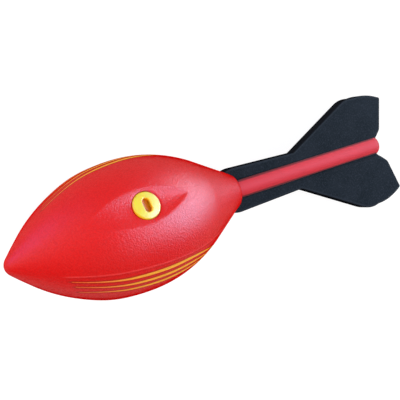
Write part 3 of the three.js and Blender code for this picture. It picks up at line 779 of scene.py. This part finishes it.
def finSurface(side, f):
    # Both faces of the sheet at half its thickness, falling off round the cut edge as a quarter circle of
    # the distance to the border, which is measured in parts to spare memory. The foam leans a little to one
    # side towards the tail.
    sheet, border = finSheet(f)
    flat = sheet.reshape(-1, 2)
    away = np.concatenate([np.hypot(*(part[:, None] - border[None]).transpose(2, 0, 1)).min(1)
                           for part in np.array_split(flat, f["parts"])]).reshape(sheet.shape[:2])
    r = fin["edgeRadius"]
    lift = fin["thickness"] / 2 - r + np.sqrt(np.clip(r ** 2 - (r - np.minimum(away, r)) ** 2, 0, None))
    # the glue line to the tube pinches the sheet as a bell curve of the distance to it
    lift = lift - fin["seamPinch"] * np.exp(-((sheet[..., 1] - fin["seamAt"]) / fin["seamSpread"]) ** 2)
    along, out = sheet[..., 0], side * sheet[..., 1]
    out = out + fin["lean"] * np.maximum(along - fin["leanFrom"], 0)
    grid = np.stack([np.stack([along, out, lift], -1), np.stack([along, out, -lift], -1)])
    return grid, np.stack([away, away])


def makeFin(side, name, node, material, ownSizes):
    # a slab of the sheet's two faces, with its distance to the cut edge for the colour
    faces, away = finSurface(side, {**fin, **ownSizes})
    rows, columns = faces.shape[1:3]
    piece = makePiece(name, faces, slabFaces(rows, columns), material, [node],
                      {"edgeDistance": away.ravel()})


sheetSkin = {  # sizes and heights in millimetres; layers as for the body's skin
    "cell": 0.769, "haze": 16.7, "grit": 1.0, "grainHeight": 0.15, "grainStrength": 0.5, "black": "#0B0D12",
    "hazes": (0.3, 0.7, 1.0, "LINEAR", "#191C23"), "specks": (0.48, 0.7, 0.6, "LINEAR", "#2A2E38"),
    "edgeBand": (2.2, 0.9, 0.5, "SMOOTHSTEP", "#2C3038"),  # a paler line along the edges, by the distance to them
    "cutWall": (0.7, 0.25, 1.0, "LINEAR", "#0E1014"),
    "roughness": 0.85, "ior": 1.15, "gloss": (0.5, 0.3, 0.85),
}


def sheetFoam():
    # Cross-linked EVA sheet foam, die cut: a dull blue-black skin with a fine closed-cell grain of about
    # half a millimetre, drawn a little coarser to show, faint lighter rub marks, a paler line along its edges
    # and a blacker cut wall.
    material, tree = startMaterial("die-cut EVA sheet foam, black")
    place = addNode(tree, "ShaderNodeTexCoord").outputs["Object"]
    cells = addNode(tree, "ShaderNodeTexVoronoi", {"Vector": place, "Scale": perMetre(sheetSkin["cell"])})
    haze = addNode(tree, "ShaderNodeTexNoise", {"Vector": place, "Scale": perMetre(sheetSkin["haze"]),
                                                "Detail": 5.0, "Roughness": 0.6})
    grit = addNode(tree, "ShaderNodeTexNoise", {"Vector": place, "Scale": perMetre(sheetSkin["grit"]),
                                                "Detail": 2.0})
    away = addNode(tree, "ShaderNodeAttribute", attribute_name="edgeDistance").outputs["Fac"]
    colour = layerColours(tree, linear(sheetSkin["black"]), [
        (haze.outputs[0], *sheetSkin["hazes"]), (grit.outputs[0], *sheetSkin["specks"]),
        (away, *sheetSkin["edgeBand"]), (away, *sheetSkin["cutWall"])])
    height = addNode(tree, "ShaderNodeMath", {0: cells.outputs["Distance"], 1: grit.outputs[0]},
                     operation="ADD")
    bump = addNode(tree, "ShaderNodeBump", {"Height": height.outputs[0],
                                            "Strength": sheetSkin["grainStrength"],
                                            "Distance": sheetSkin["grainHeight"] / 1000})
    finishMaterial(tree, {"Base Color": colour, "Roughness": sheetSkin["roughness"], "IOR": sheetSkin["ior"],
                          "Specular IOR Level": softGloss(tree, *sheetSkin["gloss"]),
                          "Normal": bump.outputs[0]})
    return material


blackFoam = sheetFoam()
# soft sheets cut and glued by hand are never quite alike
makeFin(1, "leftFinSheet", "left_fin", blackFoam, {
    "stripHalfWidth": 16.1, "rootHalfWidth": 14.2, "frontHalfWidth": 42.6, "tipHalfWidth": 36.5})
makeFin(-1, "rightFinSheet", "right_fin", blackFoam, {
    "stripHalfWidth": 16.2, "rootHalfWidth": 13.4, "frontHalfWidth": 44.8, "tipHalfWidth": 35.0,
    "tipStation": 319.1, "heelStation": 312.9})

# Tail tube

tube = {
    "radius": football["tubeRadius"], "front": 148.0, "end": 308.8, "endFillet": 5.6, "rowStep": 1.0,
    "endSteps": 18, "columns": 144, "lean": -0.0165, "leanFrom": 178.0,
}


def tubeSurface():
    # A round bar: stations along it by turns round it, with a quarter circle to the flat of its end. It
    # leans a little to one side towards the tail.
    filletCentre = (tube["end"] - tube["endFillet"], tube["radius"] - tube["endFillet"])
    straight = np.arange(tube["front"], filletCentre[0], tube["rowStep"])
    sides = np.stack([straight, np.full(len(straight), tube["radius"])], -1)
    fillet = arcPoints(filletCentre, tube["endFillet"], math.pi / 2, 0, tube["endSteps"])
    profile = np.concatenate([sides, fillet])
    turn = np.linspace(0, 2 * math.pi, tube["columns"], endpoint=False)
    along = profile[:, :1] + 0 * turn
    shift = tube["lean"] * np.maximum(along - tube["leanFrom"], 0)
    grid = np.stack([along, profile[:, 1:] * np.sin(turn) + shift, profile[:, 1:] * np.cos(turn)], -1)
    # how far a point stands clear of the fins' faces, or of their rear end
    return grid, np.maximum(np.abs(grid[..., 2]) - fin["thickness"] / 2, along - fin["endStation"])


def makeTube(material):
    # the bar's rings, closed by the middle of the first and of the last
    grid, proud = tubeSurface()
    points, faces = closedRings(grid, grid[0].mean(0), grid[-1].mean(0))
    attributes = {"proud": np.pad(proud.ravel(), 1, mode="edge")}
    piece = makePiece("tailTubeFoam", points, faces, material, ["tail_tube"], attributes)


tubeSkin = {  # sizes and heights in millimetres; the painted crevice shade is a layer as for the body's skin
    "grain": 1.0, "grainHeight": 0.2, "grainStrength": 0.5, "haze": 14.3, "reds": ("#D21E2C", "#DC2836"),
    "creviceShade": (1.3, 0.4, 0.85, "SMOOTHSTEP", "#5A0A10"),  # painted shade in the crevices, by how far the tube stands proud of the fins
    "roughness": 0.62, "ior": 1.2, "gloss": (0.5, 0.3, 0.85), "sheen": 0.2, "sheenRoughness": 0.5,
}


def tubeFoam():
    # Extruded polyethylene foam: a dull, slightly powdery skin that looks paler where light skims it, and
    # that is darkened with painted shade along the crevices where it meets the fins.
    material, tree = startMaterial("extruded polyethylene foam, red")
    place = addNode(tree, "ShaderNodeTexCoord").outputs["Object"]
    grain = addNode(tree, "ShaderNodeTexNoise", {"Vector": place, "Scale": perMetre(tubeSkin["grain"]),
                                                 "Detail": 3.0})
    haze = addNode(tree, "ShaderNodeTexNoise", {"Vector": place, "Scale": perMetre(tubeSkin["haze"]),
                                                "Detail": 3.0})
    red, otherRed = (linear(tone) for tone in tubeSkin["reds"])
    red = addNode(tree, "ShaderNodeMix", {"Factor": haze.outputs[0], 6: red, 7: otherRed}, data_type="RGBA")
    proud = addNode(tree, "ShaderNodeAttribute", attribute_name="proud")
    colour = layerColours(tree, red.outputs[2], [(proud.outputs["Fac"], *tubeSkin["creviceShade"])])
    bump = addNode(tree, "ShaderNodeBump", {"Height": grain.outputs[0], "Strength": tubeSkin["grainStrength"],
                                            "Distance": tubeSkin["grainHeight"] / 1000})
    finishMaterial(tree, {"Base Color": colour, "Roughness": tubeSkin["roughness"], "IOR": tubeSkin["ior"],
                          "Specular IOR Level": softGloss(tree, *tubeSkin["gloss"]),
                          "Sheen Weight": tubeSkin["sheen"], "Sheen Roughness": tubeSkin["sheenRoughness"],
                          "Normal": bump.outputs[0]})
    return material


makeTube(tubeFoam())

# Floor, light and camera

studio = {
    "floorSize": 8.0, "floorDrop": 0.0003, "floorColour": "#C4C4C4", "shadowShare": 0.2,
    "roomColour": "#F1F6FF", "roomLevel": 0.08, "lampAim": (0, 0, 0.04),
}
glows = (  # soft bright parts of the room: their centre, their strength, and the cosine at which they start
    ((-0.1, 0.7, 0.7), 0.5, -0.1),
    ((-0.8, 0.5, 0.45), 2.1, 0.65),
)
# The window is split in two, so that its gleam on the gloss and the light that it gives can be set apart. The
# other gleams are panels that the gloss alone shows, and the fill is light alone.
lamps = {
    "windowGleam": {"place": (1.05, -0.05, 0.8), "size": (0.8, 1.3), "power": 92.0, "colour": "#96D0F6",
                    "lights": False, "gleams": True},
    "lowGleam": {"place": (0.9, 0.34, 0.13), "size": (0.7, 0.2), "power": 20.0, "colour": "#DCE4FF",
                 "lights": False, "gleams": True},
    "skyGleam": {"place": (-0.95, 0.8, 0.2), "size": (0.7, 0.5), "power": 9.0, "colour": "#6C84FF",
                 "lights": False, "gleams": True},
    "windowLight": {"place": (1.1, -0.05, 0.72), "size": (0.5, 0.95), "power": 6.6, "colour": "#FFF6EE",
                    "lights": True, "gleams": False},
    "ceilingFill": {"place": (0.0, -0.95, 1.35), "size": (1.5, 1.5), "power": 11.0, "colour": "#FFF8F2",
                    "lights": True, "gleams": False},
}


def makeFloor():
    # a pale card: white to the camera, and a little darker where the toy's shadow falls
    half, drop = studio["floorSize"] / 2, studio["floorDrop"]
    mesh = bpy.data.meshes.new("floor")
    corners = [(-half, -half, -drop), (half, -half, -drop), (half, half, -drop), (-half, half, -drop)]
    mesh.from_pydata(corners, [], [(0, 1, 2, 3)])
    floor = bpy.data.objects.new("floor", mesh)
    bpy.context.scene.collection.objects.link(floor)
    material, tree = startMaterial("white card")
    path = addNode(tree, "ShaderNodeLightPath").outputs
    seen = path["Is Camera Ray"]
    for ray in ("Is Glossy Ray", "Is Transmission Ray"):
        seen = addNode(tree, "ShaderNodeMath", {0: seen, 1: path[ray]}, operation="MAXIMUM").outputs[0]
    card = addNode(tree, "ShaderNodeBsdfDiffuse", {"Color": linear(studio["floorColour"])})
    share = studio["shadowShare"]
    thin = addNode(tree, "ShaderNodeBsdfDiffuse", {"Color": (share, share, share, 1)})
    glow = addNode(tree, "ShaderNodeEmission", {"Color": (1, 1, 1, 1), "Strength": 1 - share / 2})
    both = addNode(tree, "ShaderNodeAddShader", {0: thin.outputs[0], 1: glow.outputs[0]})
    mix = addNode(tree, "ShaderNodeMixShader", {0: seen, 1: card.outputs[0], 2: both.outputs[0]})
    addNode(tree, "ShaderNodeOutputMaterial", {"Surface": mix.outputs[0]})
    mesh.materials.append(material)


def makeWorld():
    # a room with a bright ceiling and one bright wall, dark towards the other side
    world = bpy.data.worlds.new("room")
    bpy.context.scene.world = world
    world.use_nodes = True
    tree = world.node_tree
    tree.nodes.clear()
    direction = addNode(tree, "ShaderNodeTexCoord").outputs["Generated"]
    level = studio["roomLevel"]
    for centre, strength, start in glows:
        facing = addNode(tree, "ShaderNodeVectorMath", {0: direction, 1: Vector(centre).normalized()},
                         operation="DOT_PRODUCT")
        glow = addNode(tree, "ShaderNodeMapRange", {"Value": facing.outputs["Value"], "From Min": start,
                                                    "To Max": strength}, interpolation_type="SMOOTHSTEP")
        level = addNode(tree, "ShaderNodeMath", {0: glow.outputs[0], 1: level}, operation="ADD").outputs[0]
    room = addNode(tree, "ShaderNodeBackground", {"Color": linear(studio["roomColour"]), "Strength": level})
    # white to the camera, where it looks past the card
    path = addNode(tree, "ShaderNodeLightPath")
    white = addNode(tree, "ShaderNodeBackground", {"Color": (1, 1, 1, 1), "Strength": 1.0})
    seen = addNode(tree, "ShaderNodeMixShader", {0: path.outputs["Is Camera Ray"], 1: room.outputs[0],
                                                 2: white.outputs[0]})
    addNode(tree, "ShaderNodeOutputWorld", {"Surface": seen.outputs[0]})


def makeLamps():
    # area lamps, each turned towards the toy
    aim = Vector(studio["lampAim"])
    for name, lamp in lamps.items():
        data = bpy.data.lights.new(name, "AREA")
        data.shape = "RECTANGLE"
        data.size, data.size_y = lamp["size"]
        data.energy = lamp["power"]
        data.color = linear(lamp["colour"])[:3]
        light = bpy.data.objects.new(name, data)
        light.location = lamp["place"]
        light.visible_diffuse, light.visible_glossy = lamp["lights"], lamp["gleams"]
        light.rotation_euler = (aim - light.location).to_track_quat("-Z", "Y").to_euler()
        bpy.context.scene.collection.objects.link(light)


viewpoint = {
    "place": (-0.2391777, 0.1151987, 0.7947777), "turnDegrees": (-3.5735, -18.2945, -15.2804),
    "lens": 102.1, "sensor": 36, "nearest": 0.01,
}


def makeCamera():
    # the photograph's viewpoint
    data = bpy.data.cameras.new("camera")
    data.sensor_width = viewpoint["sensor"]
    data.lens = viewpoint["lens"]
    data.clip_start = viewpoint["nearest"]
    camera = bpy.data.objects.new("camera", data)
    camera.location = viewpoint["place"]
    camera.rotation_euler = [math.radians(turn) for turn in viewpoint["turnDegrees"]]
    bpy.context.scene.collection.objects.link(camera)
    bpy.context.scene.camera = camera


makeFloor()
makeWorld()
makeLamps()
makeCamera()
bpy.context.scene.view_settings.view_transform = "Standard"
print("studio set")
